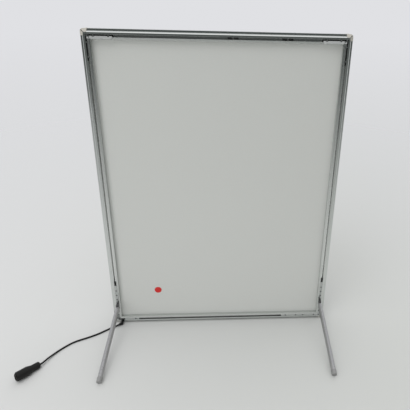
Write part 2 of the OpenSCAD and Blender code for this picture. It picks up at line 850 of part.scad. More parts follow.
// Cord swept along its route: one ring of points at each point of the route
function unit(v) = v / norm(v);
function route_dir(i) = unit(cord_route[min(i + 1, len(cord_route) - 1)] - cord_route[max(i - 1, 0)]);
function ring_point(i, k) =
    let (dir = route_dir(i), side = unit(cross(dir, [0, 0, 1])), up = cross(side, dir))
    let (a = 360 * k / cord_sides)
    cord_route[i] + cord_d / 2 * (cos(a) * side + sin(a) * up);

module power_cord() {
    rings = len(cord_route);
    n = cord_sides;
    points = [for (i = [0 : rings - 1]) for (k = [0 : n - 1]) ring_point(i, k)];
    walls = [for (i = [0 : rings - 2]) for (k = [0 : n - 1]) let (a = i * n + k, b = i * n + (k + 1) % n)
        each [[a, b, b + n], [a, b + n, a + n]]];
    start = [for (k = [1 : n - 2]) [0, k + 1, k]];
    finish = [for (k = [1 : n - 2]) [0, k, k + 1] + n * (rings - 1) * [1, 1, 1]];
    color(black) polyhedron(points, concat(walls, start, finish));
}

// Along the socket from its rear: it lies on the floor, tilted up to its mouth
module at_socket() translate(socket_rear) rotate([0, 90 - socket_tilt, socket_angle]) children();

module socket_body() {
    bore_z = socket_l - socket_bore_l;
    rear_r = socket_rear_d / 2;
    tail_r = rear_r - socket_chamfer;
    taper_z = taper_end - socket_taper_l;
    color(black)
        at_socket()
            difference() {
                rotate_extrude()
                    polygon([[0, 0], [tail_r, 0], [rear_r, socket_chamfer], [rear_r, taper_z],
                        [socket_d / 2, taper_end], [socket_d / 2, socket_l - mouth_bevel],
                        [socket_d / 2 - mouth_bevel, socket_l], [0, socket_l]]);
                translate([0, 0, bore_z]) cylinder(r = socket_bore_r, h = socket_bore_l + cut);
                translate([0, 0, bore_z - contact_root])
                    cylinder(r = contact_r + contact_seat, h = contact_root + cut);
            }
}

// Contact sleeve, pushed to the bottom of the socket's bore
module socket_sleeve() {
    sleeve_r = socket_bore_r - sleeve_seat;
    color([0.8, 0.78, 0.72])
        at_socket()
            translate([0, 0, socket_l - socket_bore_l])
                difference() {
                    cylinder(r = sleeve_r, h = socket_bore_l - sleeve_recess);
                    translate([0, 0, -cut]) cylinder(r = sleeve_r - sleeve_t, h = socket_bore_l + 2 * cut);
                }
}

module socket_contact() {
    color([0.8, 0.78, 0.72])
        at_socket()
            translate([0, 0, socket_l - socket_bore_l - contact_root])
                cylinder(r = contact_r, h = contact_root + contact_l);
}

top_rail();
bottom_rail();
left_rail();
right_rail();
top_corner_brackets();
bottom_corner_brackets();
top_bracket_screws();
bottom_bracket_screws();
corner_caps();
diffuser_panel();
light_guide();
reflector_sheet();
back_panel();
marker_dot();
left_led_board();
right_led_board();
left_led_chips();
right_led_chips();
left_supply_lead();
right_supply_lead();
joint_plate();
joint_plate_screws();
slot_nuts();
leg_knuckles();
leg_plates();
leg_plate_screws();
slot_stops();
hinge_pins();
front_left_leg();
front_right_leg();
rear_left_leg();
rear_right_leg();
front_left_foot_cap();
front_right_foot_cap();
rear_left_foot_cap();
rear_right_foot_cap();
cord_grommet();
power_cord();
socket_body();
socket_sleeve();
socket_contact();
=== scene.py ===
import math

import bmesh
import bpy
from mathutils import Matrix, Vector


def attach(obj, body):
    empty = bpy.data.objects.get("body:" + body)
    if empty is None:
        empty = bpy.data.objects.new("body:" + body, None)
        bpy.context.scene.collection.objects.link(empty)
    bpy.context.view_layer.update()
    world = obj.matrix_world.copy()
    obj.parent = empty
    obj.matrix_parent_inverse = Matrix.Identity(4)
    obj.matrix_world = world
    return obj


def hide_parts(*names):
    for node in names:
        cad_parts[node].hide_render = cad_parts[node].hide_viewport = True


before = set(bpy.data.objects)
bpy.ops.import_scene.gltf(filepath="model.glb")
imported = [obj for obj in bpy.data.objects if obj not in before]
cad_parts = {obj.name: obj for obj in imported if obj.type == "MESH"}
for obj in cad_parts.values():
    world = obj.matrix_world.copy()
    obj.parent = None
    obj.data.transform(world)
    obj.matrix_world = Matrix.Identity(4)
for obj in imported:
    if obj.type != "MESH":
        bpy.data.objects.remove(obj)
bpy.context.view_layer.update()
scene = bpy.context.scene
scene.view_settings.view_transform = "Standard"
mm = 0.001
print("frame loaded:", len(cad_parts), "nodes")


# Camera: fitted to the slot lines, the outer edges and the feet
photoCamera = {
    "place": (9.0, -446.7, 420.7),      # mm from the frame's origin
    "yaw": 3.77,                        # degrees to the right
    "pitch": 19.94,                     # degrees down
    "roll": 1.51,                       # degrees
    "focalPixels": 381.98,
    "axisPixel": (250.93, 150.53),      # where the lens axis meets the image
    "imagePixels": 410,
    "sensorWidth": 36.0,
    "clipStart": 0.01,                  # metres
}


def makeCamera(setup):
    yaw, pitch, roll = (math.radians(setup[key]) for key in ("yaw", "pitch", "roll"))
    ahead = Vector((math.sin(yaw) * math.cos(pitch), math.cos(yaw) * math.cos(pitch), -math.sin(pitch)))
    levelRight = Vector((math.cos(yaw), -math.sin(yaw), 0))
    levelUp = levelRight.cross(ahead)
    right = math.cos(roll) * levelRight + math.sin(roll) * levelUp
    up = math.cos(roll) * levelUp - math.sin(roll) * levelRight
    lens = bpy.data.cameras.new("photoCamera")
    lens.sensor_width = setup["sensorWidth"]
    lens.lens = setup["focalPixels"] / setup["imagePixels"] * setup["sensorWidth"]
    lens.shift_x = 0.5 - setup["axisPixel"][0] / setup["imagePixels"]
    lens.shift_y = setup["axisPixel"][1] / setup["imagePixels"] - 0.5
    lens.clip_start = setup["clipStart"]
    camera = bpy.data.objects.new("photoCamera", lens)
    turned = Matrix((right, up, -ahead)).transposed().to_4x4()
    camera.matrix_world = Matrix.Translation(Vector(setup["place"]) * mm) @ turned
    scene.collection.objects.link(camera)
    scene.camera = camera


makeCamera(photoCamera)
print("camera placed")


# Power lead: the route's points are [x, y] from the grommet's hole and a lift off the floor, in mm
powerLead = {
    "hole": (-138.5, -10, 2.7),
    "bend": 3.2,                        # the boot's bend, in front of the rail
    "nose": 4,                          # the boot's nose, from its bend
    "lean": 52,                         # degrees to the left
    "socketRear": (-221.7, -78.7, 3.95),
    "socketAngle": 227,
    "socketTilt": 6.19,                 # degrees up
    "bootRun": 1.6,                     # straight run out of the boot
    "socketRun": 2.6,                   # straight run into the socket
    "diameter": 2.2,
    "points": [(-7.1, -8, 1.1), (-11.1, -9.8, 0.5), (-15.1, -11.7, 0.1), (-19.9, -14.7, 0),
               (-25.5, -18.5, 0), (-31.5, -22, 0), (-38.5, -25.4, 0), (-45.5, -28.5, 0), (-52.5, -31.6, 0),
               (-58.5, -35.4, 0), (-63.5, -39.8, 0), (-68, -44.4, 0.1), (-72, -49.5, 0.4),
               (-75.4, -54.8, 1), (-77.8, -59.4, 1.8), (-79.5, -63.4, 2.4)],
    "length": 105.2,
    "stepsPerPoint": 8,
    "roundness": 5,
}


def leadRoute(lead):
    hole = Vector(lead["hole"])
    lean = math.radians(lead["lean"])
    leaving = Vector((-math.sin(lean), -math.cos(lean), 0))
    tip = hole - Vector((0, lead["bend"], 0)) + lead["nose"] * leaving
    rear = Vector(lead["socketRear"])
    angle, tilt = math.radians(lead["socketAngle"]), math.radians(lead["socketTilt"])
    entering = Vector((math.cos(tilt) * math.cos(angle), math.cos(tilt) * math.sin(angle), math.sin(tilt)))
    floorPoint = Vector((hole.x, hole.y, lead["diameter"] / 2))
    route = [tip, tip + lead["bootRun"] * leaving]
    route += [floorPoint + Vector(point) for point in lead["points"]]
    route += [rear - lead["socketRun"] * entering, rear]
    return [point * mm for point in route]


def plainMesh(piece):
    evaluated = piece.evaluated_get(bpy.context.evaluated_depsgraph_get())
    return bpy.data.meshes.new_from_object(evaluated)


def makeLead(lead):
    curve = bpy.data.curves.new("leadCurve", "CURVE")
    curve.dimensions = "3D"
    curve.resolution_u = lead["stepsPerPoint"]
    route = leadRoute(lead)
    spline = curve.splines.new("BEZIER")
    spline.bezier_points.add(len(route) - 1)
    for point, place in zip(spline.bezier_points, route):
        point.co = place
        point.handle_left_type = point.handle_right_type = "AUTO"
    drawn = bpy.data.objects.new("leadCurve", curve)
    scene.collection.objects.link(drawn)
    middle = [vertex.co.copy() for vertex in plainMesh(drawn).vertices]
    curve.bevel_depth = lead["diameter"] / 2 * mm
    curve.bevel_resolution = lead["roundness"]
    curve.use_fill_caps = True
    bpy.context.view_layer.update()
    tube = plainMesh(drawn)
    bpy.data.objects.remove(drawn)
    tube.materials.clear()
    tube.shade_smooth()
    piece = bpy.data.objects.new("powerLead", tube)
    scene.collection.objects.link(piece)
    return piece, middle


leadPiece, leadMiddle = makeLead(powerLead)
print("power lead drawn:", len(leadMiddle), "points")


# Shader groups that several finishes share
def addNode(tree, kind, inputs=None, **settings):
    node = tree.nodes.new(kind)
    for key, value in settings.items():
        setattr(node, key, value)
    for key, value in (inputs or {}).items():
        if isinstance(value, bpy.types.NodeSocket):
            tree.links.new(value, node.inputs[key])
        else:
            node.inputs[key].default_value = value
    return node


def newGroup(name, inputs, outputs):
    tree = bpy.data.node_groups.new(name, "ShaderNodeTree")
    for label, kind, value in inputs:
        tree.interface.new_socket(label, in_out="INPUT", socket_type=kind).default_value = value
    for label, kind in outputs:
        tree.interface.new_socket(label, in_out="OUTPUT", socket_type=kind)
    return tree, tree.nodes.new("NodeGroupInput").outputs, tree.nodes.new("NodeGroupOutput").inputs


groupLook = {
    "grainRoughness": 0.6,
    "cloudScale": 24.0,
    "edgeFacing": (0.995, 0.8),         # flat and fully worn, by how far the rounded normal turns
    "patchNoise": (0.35, 0.6),
    "patchLeast": 0.25,                 # wear that is left between the patches
    "smearNoise": (0.45, 0.75),
    "smearDistortion": 0.6,
}


def makeGrainGroup():
    tree, given, result = newGroup(
        "surfaceGrain",
        [("Stretch", "NodeSocketVector", (900, 900, 900)), ("Detail", "NodeSocketFloat", 3)],
        [("Tone", "NodeSocketFloat"), ("Cloud", "NodeSocketFloat")])
    place = addNode(tree, "ShaderNodeTexCoord").outputs["Object"]
    spread = addNode(tree, "ShaderNodeVectorMath", {0: place, 1: given["Stretch"]}, operation="MULTIPLY")
    grain = addNode(tree, "ShaderNodeTexNoise", {
        "Vector": spread.outputs["Vector"], "Scale": 1.0, "Detail": given["Detail"],
        "Roughness": groupLook["grainRoughness"]})
    cloud = addNode(tree, "ShaderNodeTexNoise", {
        "Vector": place, "Scale": groupLook["cloudScale"], "Detail": 4.0})
    tree.links.new(grain.outputs["Fac"], result["Tone"])
    tree.links.new(cloud.outputs["Fac"], result["Cloud"])
    return tree


def makeEdgeGroup():
    tree, given, result = newGroup(
        "edgeWear", [("Radius", "NodeSocketFloat", 0.0004), ("Breakup", "NodeSocketFloat", 900.0)],
        [("Mask", "NodeSocketFloat")])
    place = addNode(tree, "ShaderNodeTexCoord").outputs["Object"]
    plain = addNode(tree, "ShaderNodeNewGeometry").outputs["Normal"]
    rounded = addNode(tree, "ShaderNodeBevel", {"Radius": given["Radius"]}, samples=4)
    facing = addNode(tree, "ShaderNodeVectorMath", {0: plain, 1: rounded.outputs["Normal"]},
                     operation="DOT_PRODUCT")
    edge = addNode(tree, "ShaderNodeMapRange", {
        "Value": facing.outputs["Value"], "From Min": groupLook["edgeFacing"][0],
        "From Max": groupLook["edgeFacing"][1], "To Min": 0.0, "To Max": 1.0})
    patches = addNode(tree, "ShaderNodeTexNoise", {"Vector": place, "Scale": given["Breakup"], "Detail": 2.0})
    share = addNode(tree, "ShaderNodeMapRange", {
        "Value": patches.outputs["Fac"], "From Min": groupLook["patchNoise"][0],
        "From Max": groupLook["patchNoise"][1], "To Min": groupLook["patchLeast"], "To Max": 1.0})
    mask = addNode(tree, "ShaderNodeMath", {0: edge.outputs["Result"], 1: share.outputs["Result"]},
                   operation="MULTIPLY")
    tree.links.new(mask.outputs["Value"], result["Mask"])
    return tree


def makeMarksGroup():
    tree, given, result = newGroup(
        "handMarks", [("Scale", "NodeSocketFloat", 30.0), ("Amount", "NodeSocketFloat", 1.0)],
        [("Mask", "NodeSocketFloat")])
    place = addNode(tree, "ShaderNodeTexCoord").outputs["Object"]
    broad = addNode(tree, "ShaderNodeTexNoise", {
        "Vector": place, "Scale": given["Scale"], "Detail": 5.0,
        "Distortion": groupLook["smearDistortion"]})
    smear = addNode(tree, "ShaderNodeMapRange", {
        "Value": broad.outputs["Fac"], "From Min": groupLook["smearNoise"][0],
        "From Max": groupLook["smearNoise"][1], "To Min": 0.0, "To Max": 1.0})
    mask = addNode(tree, "ShaderNodeMath", {0: smear.outputs["Result"], 1: given["Amount"]},
                   operation="MULTIPLY")
    tree.links.new(mask.outputs["Value"], result["Mask"])
    return tree


grainGroup = makeGrainGroup()
edgeGroup = makeEdgeGroup()
marksGroup = makeMarksGroup()


# Finishes: colours are linear, lengths are metres, and what a finish leaves out comes from plainFinish
plainFinish = {
    "detail": 3,
    "marks": 0.5,
    "marksScale": 40,
    "marksRoughness": 0.06,
    "relief": 0.3,
    "glossTones": (0.25, 0.75),         # grain tones at the smooth and the rough end
    "shader": {},
}


def makeFinish(name, chosenLook):
    look = {**plainFinish, **chosenLook}
    material = bpy.data.materials.new(name)
    material.use_nodes = True
    tree = material.node_tree
    shader = tree.nodes["Principled BSDF"]
    grain = addNode(tree, "ShaderNodeGroup", node_tree=grainGroup)
    grain.inputs["Stretch"].default_value = look["stretch"]
    grain.inputs["Detail"].default_value = look["detail"]
    marks = addNode(tree, "ShaderNodeGroup", node_tree=marksGroup)
    marks.inputs["Scale"].default_value = look["marksScale"]
    marks.inputs["Amount"].default_value = look["marks"]

    dark, light = look["colours"]
    body = addNode(tree, "ShaderNodeMix", {
        "Factor": grain.outputs["Tone"], 6: (*dark, 1), 7: (*light, 1)}, data_type="RGBA")
    colour = body.outputs[2]
    if "edge" in look:
        wear = addNode(tree, "ShaderNodeGroup", node_tree=edgeGroup)
        wear.inputs["Radius"].default_value = look["edgeRadius"]
        worn = addNode(tree, "ShaderNodeMix", {
            "Factor": wear.outputs["Mask"], 6: colour, 7: (*look["edge"], 1)}, data_type="RGBA")
        colour = worn.outputs[2]
    tree.links.new(colour, shader.inputs["Base Color"])

    smooth, rough = look["roughness"]
    gloss = addNode(tree, "ShaderNodeMapRange", {
        "Value": grain.outputs["Tone"], "From Min": look["glossTones"][0], "From Max": look["glossTones"][1],
        "To Min": smooth, "To Max": rough})
    handled = addNode(tree, "ShaderNodeMath", {
        0: marks.outputs["Mask"], 1: look["marksRoughness"], 2: gloss.outputs["Result"]},
        operation="MULTIPLY_ADD")
    tree.links.new(handled.outputs["Value"], shader.inputs["Roughness"])

    relief = addNode(tree, "ShaderNodeBump", {
        "Height": grain.outputs["Tone"], "Strength": look["relief"], "Distance": look["depth"]})
    tree.links.new(relief.outputs["Normal"], shader.inputs["Normal"])
    for socket, value in look["shader"].items():
        shader.inputs[socket].default_value = value
    return material


railLook = {
    "colours": ((0.64, 0.66, 0.645), (0.73, 0.75, 0.735)),
    "roughness": (0.08, 0.13),
    "depth": 0.00001,
    "edge": (0.82, 0.83, 0.82),
    "edgeRadius": 0.0003,
    "marks": 0.6,
    "shader": {"Metallic": 1.0},
}
railAcross = makeFinish("railAcross", {**railLook, "stretch": (12, 2600, 2600)})
railUpright = makeFinish("railUpright", {**railLook, "stretch": (2600, 2600, 12)})
# Faces inside the top and bottom rails' slots: a darker copy of the rail metal, painted shade in the slot
slotPaintedShade = makeFinish("slotPaintedShade", {
    "colours": ((0.42, 0.425, 0.42), (0.49, 0.495, 0.49)),
    "roughness": (0.16, 0.24),
    "depth": 0.00001,
    "stretch": (700, 700, 700),
    "shader": {"Metallic": 1.0},
})
# Faces inside the upright rails' slots: a lighter copy of the rail metal, painted light in the slot
uprightSlotPaintedLight = makeFinish("uprightSlotPaintedLight", {
    "colours": ((0.86, 0.875, 0.86), (0.92, 0.93, 0.92)),
    "roughness": (0.2, 0.28),
    "depth": 0.00001,
    "stretch": (700, 700, 700),
    "shader": {"Metallic": 1.0},
})
legFinish = makeFinish("legAluminium", {
    "colours": ((0.39, 0.39, 0.395), (0.47, 0.47, 0.475)),
    "roughness": (0.24, 0.34),
    "depth": 0.00001,
    "stretch": (2400, 14, 2400),
    "edge": (0.6, 0.6, 0.605),
    "edgeRadius": 0.0003,
    "shader": {"Metallic": 1.0},
})
bracketFinish = makeFinish("bracketSteel", {
    "colours": ((0.56, 0.58, 0.57), (0.67, 0.69, 0.68)),
    "roughness": (0.24, 0.34),
    "depth": 0.000015,
    "stretch": (1500, 1500, 1500),
    "edge": (0.78, 0.79, 0.78),
    "edgeRadius": 0.0002,
    "shader": {"Metallic": 1.0},
})
hookSteel = makeFinish("hookSteel", {
    "colours": ((0.50, 0.515, 0.505), (0.58, 0.595, 0.585)),
    "roughness": (0.24, 0.34),
    "depth": 0.000015,
    "stretch": (1500, 1500, 1500),
    "edge": (0.8, 0.81, 0.8),
    "edgeRadius": 0.0003,
    "shader": {"Metallic": 1.0},
})
# Black finish for the slot stops and slot nuts, and painted shade on the top brackets' faces inside the slot
blackSteelAndSlotShade = makeFinish("blackenedSteelAndSlotShade", {
    "colours": ((0.025, 0.026, 0.026), (0.045, 0.046, 0.046)),
    "roughness": (0.42, 0.56),
    "depth": 0.00002,
    "stretch": (1800, 1800, 1800),
    "edge": (0.16, 0.16, 0.16),
    "edgeRadius": 0.0002,
    "shader": {"Metallic": 0.6},
})
hingeSteel = makeFinish("hingeSteel", {
    "colours": ((0.09, 0.09, 0.092), (0.13, 0.13, 0.132)),
    "roughness": (0.4, 0.52),
    "depth": 0.00002,
    "stretch": (1800, 1800, 1800),
    "edge": (0.24, 0.24, 0.24),
    "edgeRadius": 0.0002,
    "shader": {"Metallic": 0.6},
})
screwSteel = makeFinish("oiledScrews", {
    "colours": ((0.03, 0.03, 0.032), (0.055, 0.055, 0.058)),
    "roughness": (0.3, 0.44),
    "depth": 0.000015,
    "stretch": (2600, 2600, 2600),
    "shader": {"Metallic": 1.0},
})
# Dark finish for the walls of the corner caps' mitre gap: painted shade in the gap
lineShade = makeFinish("paintedCapLineShade", {
    "colours": ((0.03, 0.03, 0.028), (0.06, 0.06, 0.055)),
    "roughness": (0.6, 0.75),
    "depth": 0.00002,
    "stretch": (1600, 1600, 1600),
})
capPlastic = makeFinish("capPlastic", {
    "colours": ((0.47, 0.45, 0.405), (0.54, 0.52, 0.47)),
    "roughness": (0.44, 0.58),
    "depth": 0.00003,
    "stretch": (2200, 2200, 2200),
    "edge": (0.62, 0.60, 0.56),
    "edgeRadius": 0.0004,
})
footPlastic = makeFinish("footPlastic", {
    "colours": ((0.23, 0.23, 0.228), (0.29, 0.29, 0.287)),
    "roughness": (0.40, 0.55),
    "depth": 0.00003,
    "stretch": (2200, 2200, 2200),
    "edge": (0.5, 0.5, 0.5),
    "edgeRadius": 0.0004,
})
opalAcrylic = makeFinish("opalAcrylic", {
    "colours": ((0.625, 0.635, 0.612), (0.655, 0.665, 0.642)),
    "roughness": (0.34, 0.40),
    "depth": 0.000004,
    "stretch": (500, 500, 500),
    "marks": 0.8,
    "marksScale": 18,
    "marksRoughness": 0.08,
    "shader": {"IOR": 1.49},
})
clearAcrylic = makeFinish("clearAcrylic", {
    "colours": ((0.84, 0.90, 0.90), (0.90, 0.94, 0.94)),
    "roughness": (0.05, 0.12),
    "depth": 0.00001,
    "stretch": (500, 500, 500),
    "shader": {"IOR": 1.49, "Transmission Weight": 0.8},
})
whiteFilm = makeFinish("reflectorFilm", {
    "colours": ((0.88, 0.88, 0.88), (0.93, 0.93, 0.93)),
    "roughness": (0.5, 0.6),
    "depth": 0.00001,
    "stretch": (600, 600, 600),
})
backSheet = makeFinish("backSheet", {
    "colours": ((0.70, 0.70, 0.69), (0.76, 0.76, 0.75)),
    "roughness": (0.36, 0.5),
    "depth": 0.00003,
    "stretch": (1100, 1100, 1100),
    "marks": 1.0,
    "marksScale": 14,
})
redLabel = makeFinish("redLabel", {
    "colours": ((0.58, 0.012, 0.010), (0.68, 0.022, 0.016)),
    "roughness": (0.38, 0.5),
    "depth": 0.00002,
    "stretch": (1500, 1500, 1500),
})
ledBoard = makeFinish("ledBoard", {
    "colours": ((0.80, 0.80, 0.76), (0.88, 0.88, 0.84)),
    "roughness": (0.3, 0.42),
    "depth": 0.00001,
    "stretch": (900, 900, 900),
})
ledChip = makeFinish("ledChip", {
    "colours": ((0.80, 0.62, 0.16), (0.88, 0.70, 0.22)),
    "roughness": (0.25, 0.36),
    "depth": 0.00001,
    "stretch": (1800, 1800, 1800),
})
leadSheath = makeFinish("leadSheath", {
    "colours": ((0.20, 0.03, 0.03), (0.28, 0.05, 0.05)),
    "roughness": (0.4, 0.5),
    "depth": 0.00001,
    "stretch": (1200, 1200, 1200),
})
cordSheath = makeFinish("cordSheath", {
    "colours": ((0.006, 0.006, 0.006), (0.011, 0.011, 0.011)),
    "roughness": (0.45, 0.6),
    "depth": 0.00002,
    "stretch": (1400, 1400, 1400),
    "shader": {"Specular IOR Level": 0.28},
})
blackRubber = makeFinish("blackRubber", {
    "colours": ((0.006, 0.006, 0.006), (0.011, 0.011, 0.011)),
    "roughness": (0.55, 0.7),
    "depth": 0.00003,
    "stretch": (1800, 1800, 1800),
    "shader": {"Specular IOR Level": 0.28},
})
socketPlastic = makeFinish("socketPlastic", {
    "colours": ((0.006, 0.006, 0.0055), (0.011, 0.011, 0.010)),
    "roughness": (0.46, 0.6),
    "depth": 0.00004,
    "stretch": (2000, 2000, 2000),
    "edge": (0.025, 0.025, 0.025),
    "edgeRadius": 0.0004,
    "shader": {"Specular IOR Level": 0.3},
})
contactMetal = makeFinish("contactMetal", {
    "colours": ((0.26, 0.235, 0.18), (0.33, 0.30, 0.24)),
    "roughness": (0.22, 0.34),
    "depth": 0.00001,
    "stretch": (1200, 1200, 1200),
    "shader": {"Metallic": 1.0},
})
print("finishes mixed:", len(bpy.data.materials))


# CAD nodes that stay as they are and take a finish
nodeFinishes = {
    "diffuser_panel": opalAcrylic,
    "light_guide": clearAcrylic,
    "reflector_sheet": whiteFilm,
    "back_panel": backSheet,
    "marker_dot": redLabel,
    "left_led_board": ledBoard,
    "right_led_board": ledBoard,
    "left_led_chips": ledChip,
    "right_led_chips": ledChip,
    "left_supply_lead": leadSheath,
    "right_supply_lead": leadSheath,
}
for nodeName, finish in nodeFinishes.items():
    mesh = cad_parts[nodeName].data
    mesh.materials.clear()
    mesh.materials.append(finish)


# Pieces with a broken edge: the CAD shape, merged, bevelled and shaded smooth; faces that a piece's test picks
# take a second finish of painted shade or painted light
edgeBreaking = {
    "merge": 1e-6,                      # metres
    "flatAngle": 0.5,                   # degrees, here and below
    "bevelAngle": 35,
    "sharpAngle": 50,
    "segments": 2,
    "faceWeight": 80,
}


def breakEdges(pieceName, look):
    bm = bmesh.new()
    bm.from_mesh(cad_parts[look["node"]].data)
    bmesh.ops.remove_doubles(bm, verts=bm.verts, dist=edgeBreaking["merge"])
    bmesh.ops.dissolve_limit(bm, angle_limit=math.radians(edgeBreaking["flatAngle"]), verts=bm.verts,
                             edges=bm.edges)
    mesh = bpy.data.meshes.new(pieceName)
    bm.to_mesh(mesh)
    bm.free()
    piece = bpy.data.objects.new(pieceName, mesh)
    scene.collection.objects.link(piece)
    rounding = piece.modifiers.new("brokenEdge", "BEVEL")
    rounding.width = look["bevel"] * mm
    rounding.segments = look.get("segments", edgeBreaking["segments"])
    rounding.limit_method = "ANGLE"
    rounding.angle_limit = math.radians(edgeBreaking["bevelAngle"])
    piece.data = plainMesh(piece)
    piece.modifiers.clear()
    piece.data.shade_smooth()
    piece.data.set_sharp_from_angle(angle=math.radians(edgeBreaking["sharpAngle"]))
    flatten = piece.modifiers.new("flatFaces", "WEIGHTED_NORMAL")
    flatten.weight = edgeBreaking["faceWeight"]
    flatten.keep_sharp = True
    finished = plainMesh(piece)
    piece.modifiers.clear()
    piece.data = finished
    finished.materials.clear()
    finished.materials.append(look["finish"])
    # Faces in slots, gaps and the top brackets' hidden part take the second finish: painted shade or painted
    # light
    if "inside" in look:
        finished.materials.append(look["inside"])
        for face in finished.polygons:
            if look["inPaintedShading"](face.center / mm):
                face.material_index = 1
    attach(piece, look.get("body", "frame"))
    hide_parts(look["node"])
    return piece


# The frame and its slots, in mm: across from the outer edge, and back from the front or rear face
frameBox = {"halfWidth": 150, "height": 400, "halfDepth": 10, "capLineHalf": 0.53, "faceSlack": 0.02}
railSlot = {"middle": 7.3, "halfWidth": 2.5, "shallow": 0.25, "deep": 3.3}


# Faces inside a rail's slot, which take the slot's painted shade or painted light finish
def inSlot(across):
    def test(place):
        depth = frameBox["halfDepth"] - abs(place.y)
        onSlot = abs(across(place) - railSlot["middle"]) < railSlot["halfWidth"]
        return onSlot and railSlot["shallow"] < depth < railSlot["deep"]
    return test


# Faces behind the frame's front face, where the top brackets take the black painted shade
def behindFace(place):
    return abs(place.y) < frameBox["halfDepth"] + frameBox["faceSlack"]


# Faces on the corner caps' mitre gap, which take the painted shade
def onCapLine(place):
    halfHeight = frameBox["height"] / 2
    fromCorner = (frameBox["halfWidth"] - abs(place.x)) - (halfHeight - abs(place.z - halfHeight))
    return abs(fromCorner) < frameBox["capLineHalf"]


brokenEdges = {
    # The rails' slot faces take painted shade across the top and bottom and painted light on the uprights
    "topRail": {"node": "top_rail", "slot": "anodised_rail", "finish": railAcross, "bevel": 0.15,
                "inside": slotPaintedShade, "inPaintedShading": inSlot(lambda place: frameBox["height"] - place.z)},
    "bottomRail": {"node": "bottom_rail", "slot": "anodised_rail", "finish": railAcross, "bevel": 0.15,
                   "inside": slotPaintedShade, "inPaintedShading": inSlot(lambda place: place.z)},
    "leftRail": {"node": "left_rail", "slot": "anodised_rail", "finish": railUpright, "bevel": 0.15,
                 "inside": uprightSlotPaintedLight, "inPaintedShading": inSlot(lambda place: place.x + frameBox["halfWidth"])},
    "rightRail": {"node": "right_rail", "slot": "anodised_rail", "finish": railUpright, "bevel": 0.15,
                  "inside": uprightSlotPaintedLight, "inPaintedShading": inSlot(lambda place: frameBox["halfWidth"] - place.x)},
    "cornerCaps": {"node": "corner_caps", "slot": "cap_plastic", "finish": capPlastic, "bevel": 0.2,
                   "inside": lineShade, "inPaintedShading": onCapLine},
    # The top brackets' faces behind the front face take the black finish as painted shade in the slot
    "topCornerBrackets": {"node": "top_corner_brackets", "slot": "bracket_steel", "finish": hookSteel,
                          "bevel": 0.12, "inside": blackSteelAndSlotShade, "inPaintedShading": behindFace},
    "bottomCornerBrackets": {"node": "bottom_corner_brackets", "slot": "bracket_steel",
                             "finish": bracketFinish, "bevel": 0.12},
    "jointPlate": {"node": "joint_plate", "slot": "bracket_steel", "finish": bracketFinish, "bevel": 0.12},
    "legPlates": {"node": "leg_plates", "slot": "bracket_steel", "finish": bracketFinish, "bevel": 0.12},
    "legKnuckles": {"node": "leg_knuckles", "slot": "black_steel", "finish": hingeSteel, "bevel": 0.2},
    "slotStops": {"node": "slot_stops", "slot": "black_steel", "finish": blackSteelAndSlotShade, "bevel": 0.12},
    "slotNuts": {"node": "slot_nuts", "slot": "black_steel", "finish": blackSteelAndSlotShade, "bevel": 0.12},
    "hingePins": {"node": "hinge_pins", "slot": "black_steel", "finish": hingeSteel, "bevel": 0.15},
    "cordBoot": {"node": "cord_grommet", "slot": "black_rubber", "finish": blackRubber, "bevel": 0.2},
    "socketBody": {"node": "socket_body", "slot": "socket_plastic", "finish": socketPlastic, "bevel": 0.5,
                   "segments": 3},
    "socketSleeve": {"node": "socket_sleeve", "slot": "contact_metal", "finish": contactMetal, "bevel": 0.1},
    "socketContact": {"node": "socket_contact", "slot": "contact_metal", "finish": contactMetal, "bevel": 0.3},
}
for side in ("front_left", "front_right", "rear_left", "rear_right"):
    first, second = side.split("_")
    brokenEdges[first + second.capitalize() + "Leg"] = {
        "node": side + "_leg", "slot": "leg_aluminium", "finish": legFinish, "bevel": 0.2,
        "body": side + "_foot"}
    brokenEdges[first + second.capitalize() + "FootCap"] = {
        "node": side + "_foot_cap", "slot": "foot_plastic", "finish": footPlastic, "bevel": 0.25,
        "body": side + "_foot"}
pieces = {pieceName: breakEdges(pieceName, look) for pieceName, look in brokenEdges.items()}
print("edges broken:", len(pieces), "pieces")

leadPiece.data.materials.append(cordSheath)
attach(leadPiece, "frame")
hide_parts("power_cord")


# Set screws: one tree puts a socket-headed screw on each place that the CAD screws hold
setScrews = {
    "radius": 0.98,
    "socketFlats": 0.95,                # across the flats of the hexagon
    "socketDepth": 1.1,
    "mouth": 0.62,                      # radius of the bevelled mouth over the socket
    "mouthDepth": 0.2,
    "sides": 24,
    "turnStep": 0.7,                    # radians from one screw's socket to the next
}
plainEnd = {"headRadius": 1.0, "headTop": 0.85, "headLength": 0.15, "length": 2.7}
buttonHead = {"headRadius": 1.25, "headTop": 0.75, "headLength": 0.7, "length": 2.8}
screwSets = {
    "topBracketScrews": {"node": "top_bracket_screws", "slot": "bracket_steel", "finish": bracketFinish,
                         **buttonHead},
    "bottomBracketScrews": {"node": "bottom_bracket_screws", "slot": "screw_steel", "finish": screwSteel,
                            **plainEnd},
    "legPlateScrews": {"node": "leg_plate_screws", "slot": "screw_steel", "finish": screwSteel, **plainEnd},
    "jointPlateScrews": {"node": "joint_plate_screws", "slot": "screw_steel", "finish": screwSteel, **plainEnd},
}


